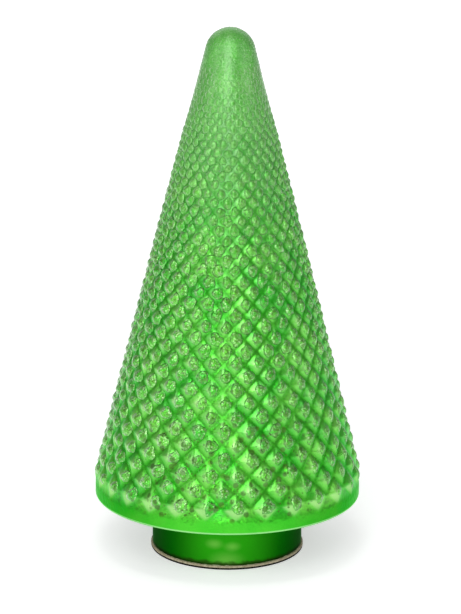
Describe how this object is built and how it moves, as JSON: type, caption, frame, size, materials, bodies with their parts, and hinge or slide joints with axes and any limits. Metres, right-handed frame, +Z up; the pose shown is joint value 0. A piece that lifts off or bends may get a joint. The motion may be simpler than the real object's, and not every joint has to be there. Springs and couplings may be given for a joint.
{
  "type": "glass cone tree ornament",
  "caption": "Lit table-top cone tree of green nubbed glass on a short neck, with a battery base, twist door and slide switch.",
  "frame": {"origin": "centre of the foot's underside, on the surface the tree stands on", "axes": "+Z up along the tree's axis, -Y towards the side with the switch, which is the side pictured"},
  "size_m": [0.1738, 0.1738, 0.343],
  "materials": {
    "green_glass": "satin green glass silvered inside, nubs dusted with clear glitter",
    "cork": "raw",
    "black_foam": "matte closed-cell foam",
    "glue": "cloudy",
    "black_plastic": "fine moulded texture",
    "white_plastic": "moulded",
    "clear_plastic": "clear acrylic",
    "cell_wrap": "satin film",
    "contact_metal": "nickel plated",
    "screw_steel": "zinc plated",
    "board_green": "solder mask",
    "chip_epoxy": "epoxy",
    "resistor_body": "lacquer",
    "lead_red": "soft sleeve",
    "lead_black": "soft sleeve",
    "copper_wire": "lacquered",
    "led_resin": "clear resin drop"
  },
  "bodies": {
    "tree": {"glass_shell": "green_glass", "cork_ring": "cork", "foam_ring": "black_foam", "glue_bead": "glue", "battery_tray": "black_plastic", "tray_cover": "black_plastic", "cover_screw_1": "screw_steel", "cover_screw_2": "screw_steel", "cover_screw_3": "screw_steel", "cover_screw_4": "screw_steel", "battery_cell_1": "cell_wrap", "battery_cell_2": "cell_wrap", "battery_cell_3": "cell_wrap", "contact_minus": "contact_metal", "contact_plus": "contact_metal", "contact_link_1": "contact_metal", "contact_link_2": "contact_metal", "circuit_board": "board_green", "timer_chip": "chip_epoxy", "quartz_can": "contact_metal", "resistor": "resistor_body", "switch_body": "screw_steel", "lead_plus": "lead_red", "lead_minus": "lead_black", "light_post": "clear_plastic", "post_cap": "white_plastic", "led_wire": "copper_wire", "led_bead_01": "led_resin", "led_bead_02": "led_resin", "led_bead_03": "led_resin", "led_bead_04": "led_resin", "led_bead_05": "led_resin", "led_bead_06": "led_resin", "led_bead_07": "led_resin", "led_bead_08": "led_resin", "led_bead_09": "led_resin", "led_bead_10": "led_resin", "led_bead_11": "led_resin", "led_bead_12": "led_resin"},
    "door": {"battery_door": "black_plastic"},
    "slider": {"switch_slider": "white_plastic"}
  },
  "joints": [
    {"name": "door_twist", "type": "hinge", "parent": "tree", "child": "door", "pos_m": [0, 0.0035, 0.0033], "axis": [0, 0, 1], "range_deg": [0, 30]},
    {"name": "switch_slide", "type": "slide", "parent": "tree", "child": "slider", "axis": [1, 0, 0], "range_m": [0, 0.004]}
  ]
}
